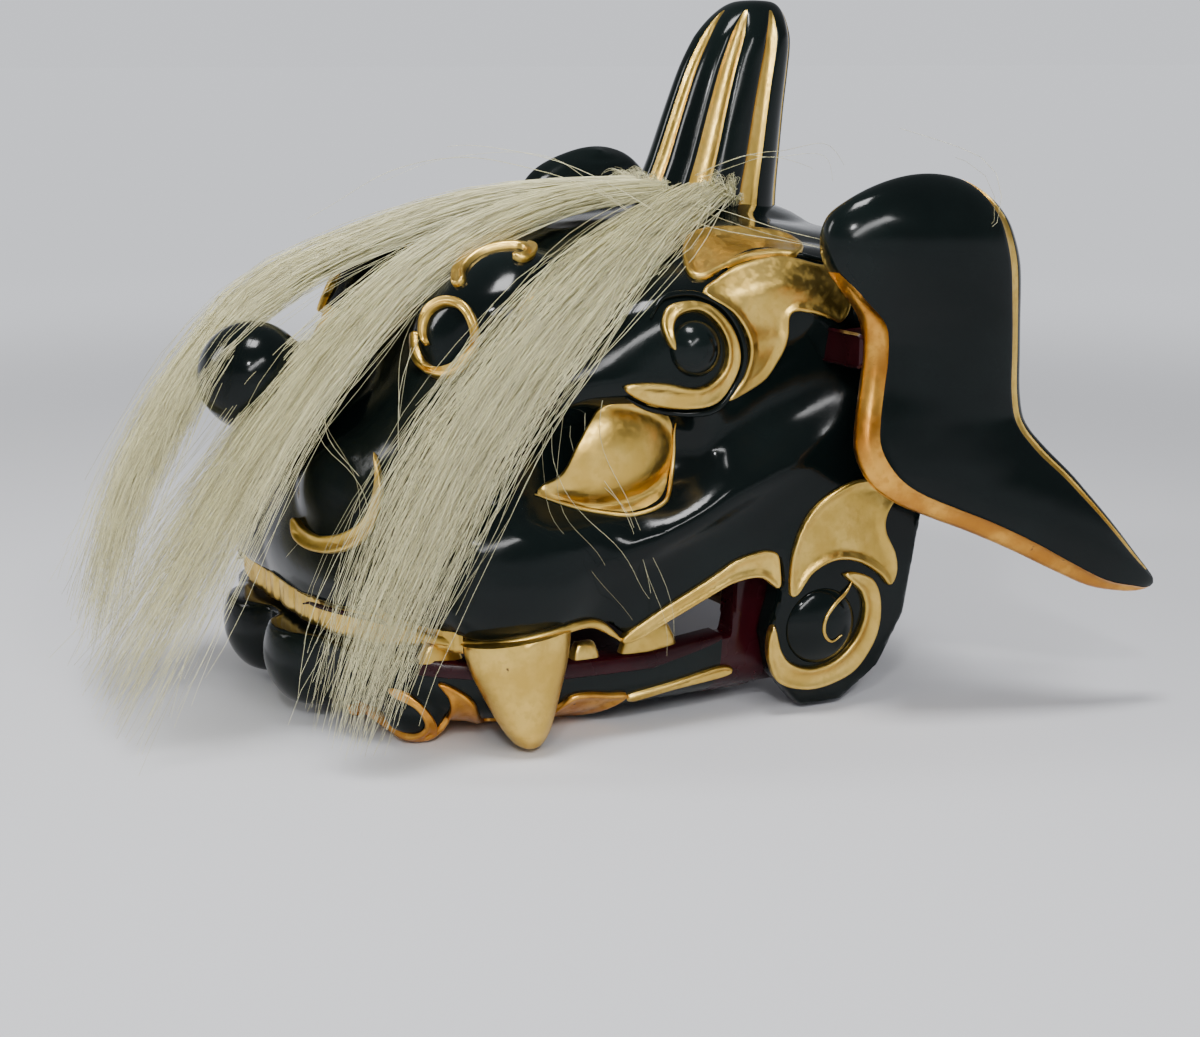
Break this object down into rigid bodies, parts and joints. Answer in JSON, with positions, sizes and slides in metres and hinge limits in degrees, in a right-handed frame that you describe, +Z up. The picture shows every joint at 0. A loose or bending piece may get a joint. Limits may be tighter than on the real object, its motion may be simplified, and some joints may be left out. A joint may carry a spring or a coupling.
{
  "type": "lion dance head",
  "caption": "Carved, lacquered and gilded wooden lion dance head with a hinged jaw, fluted horn, drooping ears and a horsehair mane.",
  "frame": {"origin": "middle of the flat underside of the jaw, on the floor", "axes": "+X to the lion's left, +Y to its back, +Z up"},
  "size_m": [0.4298, 0.4748, 0.3495],
  "materials": {
    "black_lacquer": "gloss black lacquer",
    "gold_leaf": "satin gold leaf over lacquer",
    "amber_gold": "amber varnished gold leaf",
    "wine_lacquer": "satin dark red lacquer",
    "horsehair": "pale horsehair",
    "plain_wood": "bare wood"
  },
  "bodies": {
    "head": {"head_shell": "black_lacquer", "upper_teeth": "gold_leaf", "horn": "black_lacquer", "mane": "horsehair", "jaw_pin": "plain_wood", "ear_left": "black_lacquer", "ear_right": "black_lacquer", "ear_tenon_left": "wine_lacquer", "ear_tenon_right": "wine_lacquer", "eye_left": "gold_leaf", "eye_right": "gold_leaf", "fang_left": "gold_leaf", "fang_right": "gold_leaf", "lip_rim": "gold_leaf", "brow_leaf_left": "gold_leaf", "brow_leaf_right": "gold_leaf", "cheek_flame_left": "gold_leaf", "cheek_flame_right": "gold_leaf", "upper_leaf_left": "gold_leaf", "upper_leaf_right": "gold_leaf", "brow_curl_left": "gold_leaf", "brow_curl_right": "gold_leaf", "cheek_curl_left": "gold_leaf", "cheek_curl_right": "gold_leaf", "forehead_curl_left": "gold_leaf", "forehead_curl_right": "gold_leaf", "forehead_crescent_left": "gold_leaf", "forehead_crescent_right": "gold_leaf", "nostril_rim_left": "gold_leaf", "nostril_rim_right": "gold_leaf"},
    "jaw": {"jaw": "black_lacquer", "lower_teeth_left": "gold_leaf", "lower_teeth_right": "gold_leaf", "jaw_flame_left": "amber_gold", "jaw_flame_right": "amber_gold", "jaw_line_left": "gold_leaf", "jaw_line_right": "gold_leaf"}
  },
  "joints": [
    {"name": "jaw_hinge", "type": "hinge", "parent": "head", "child": "jaw", "pos_m": [0, 0.095, 0.032], "axis": [1, 0, 0], "range_deg": [0, 26]}
  ]
}
